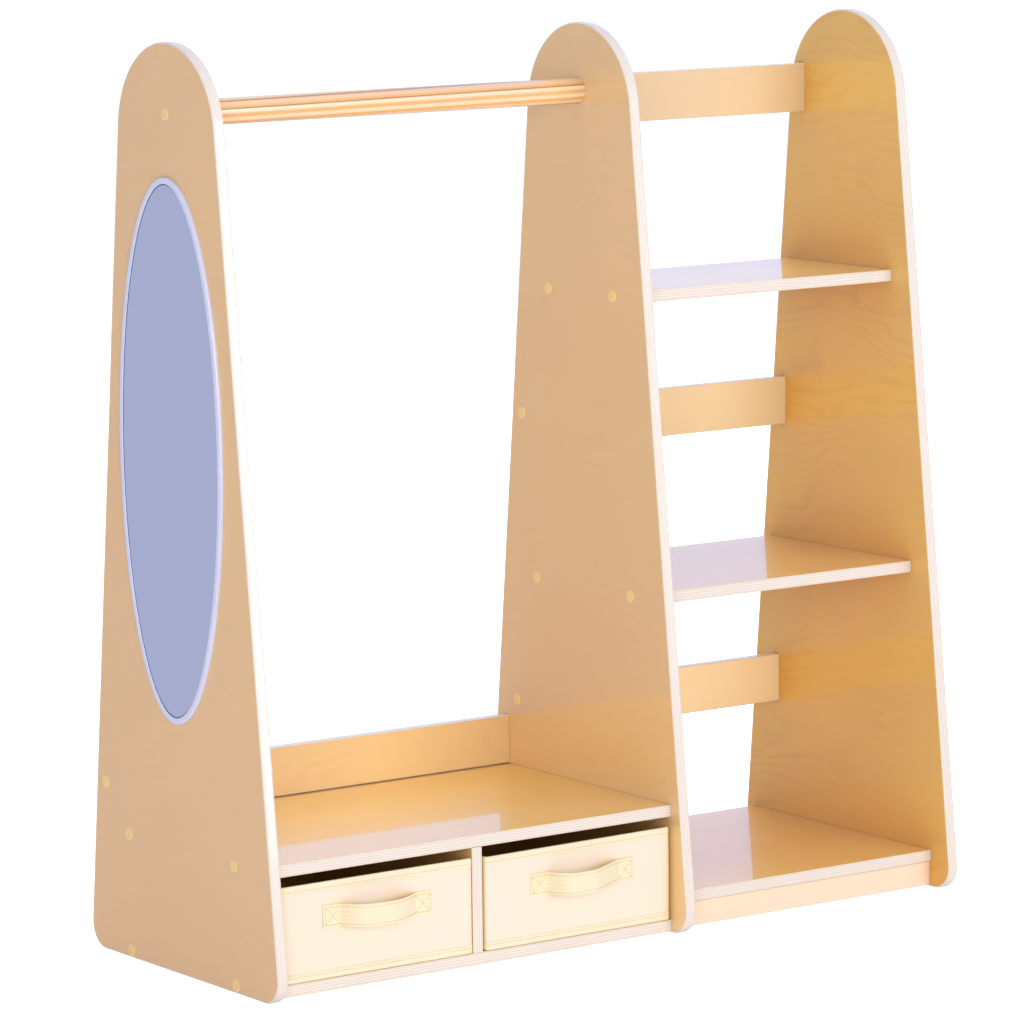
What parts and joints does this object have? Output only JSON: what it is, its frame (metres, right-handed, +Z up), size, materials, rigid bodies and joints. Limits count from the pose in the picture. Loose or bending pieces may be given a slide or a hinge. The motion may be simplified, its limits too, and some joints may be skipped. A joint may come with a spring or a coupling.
{
  "type": "dress up storage unit with mirror",
  "caption": "Plywood dress-up unit with tapered round-top panels, an oval mirror, a hanging rod over a bench seat with fabric bins, and open shelves.",
  "frame": {"origin": "centre of the object's footprint box, on the floor", "axes": "+Z up, the front faces -Y, +X runs from the mirror panel to the shelf side"},
  "size_m": [1.0502, 0.4278, 1.13],
  "materials": {
    "birch_panel": "clear-lacquered birch plywood, satin",
    "birch_board": "clear-lacquered birch plywood, semi-gloss",
    "pine": "turned pine, satin",
    "mirror": "polished mirror sheet",
    "frame_moulding": "moulded plastic, soft gloss",
    "foam_tape": "white closed-cell foam tape",
    "zinc_steel": "zinc-plated steel",
    "cover_cap": "moulded tan plastic",
    "canvas": "cream canvas over stiff board",
    "webbing": "pale yellow cotton webbing"
  },
  "bodies": {
    "carcass": {"left_panel": "birch_panel", "middle_panel": "birch_panel", "right_panel": "birch_panel", "seat": "birch_board", "bin_floor": "birch_board", "bin_divider": "birch_board", "cubby_back": "birch_board", "seat_rail": "birch_board", "bottom_shelf": "birch_board", "middle_shelf": "birch_board", "upper_shelf": "birch_board", "kickboard": "birch_board", "top_rail": "birch_board", "middle_rail": "birch_board", "lower_rail": "birch_board", "hanging_rod": "pine", "mirror_sheet": "mirror", "mirror_frame": "frame_moulding", "mirror_tape": "foam_tape", "left_bay_screws": "zinc_steel", "right_bay_screws": "zinc_steel", "divider_screws": "zinc_steel", "left_panel_caps": "cover_cap", "middle_panel_shelf_caps": "cover_cap", "middle_panel_seat_caps": "cover_cap", "right_panel_caps": "cover_cap", "left_bay_pins": "pine", "right_bay_pins": "pine", "divider_pins": "pine", "kickboard_pins": "pine"},
    "left_bin": {"left_bin_cover": "canvas", "left_bin_base": "canvas", "left_bin_handle": "webbing"},
    "right_bin": {"right_bin_cover": "canvas", "right_bin_base": "canvas", "right_bin_handle": "webbing"}
  },
  "joints": [
    {"name": "left_bin_pull", "type": "slide", "parent": "carcass", "child": "left_bin", "axis": [0, -1, 0], "range_m": [0, 0.3]},
    {"name": "right_bin_pull", "type": "slide", "parent": "carcass", "child": "right_bin", "axis": [0, -1, 0], "range_m": [0, 0.3]}
  ]
}
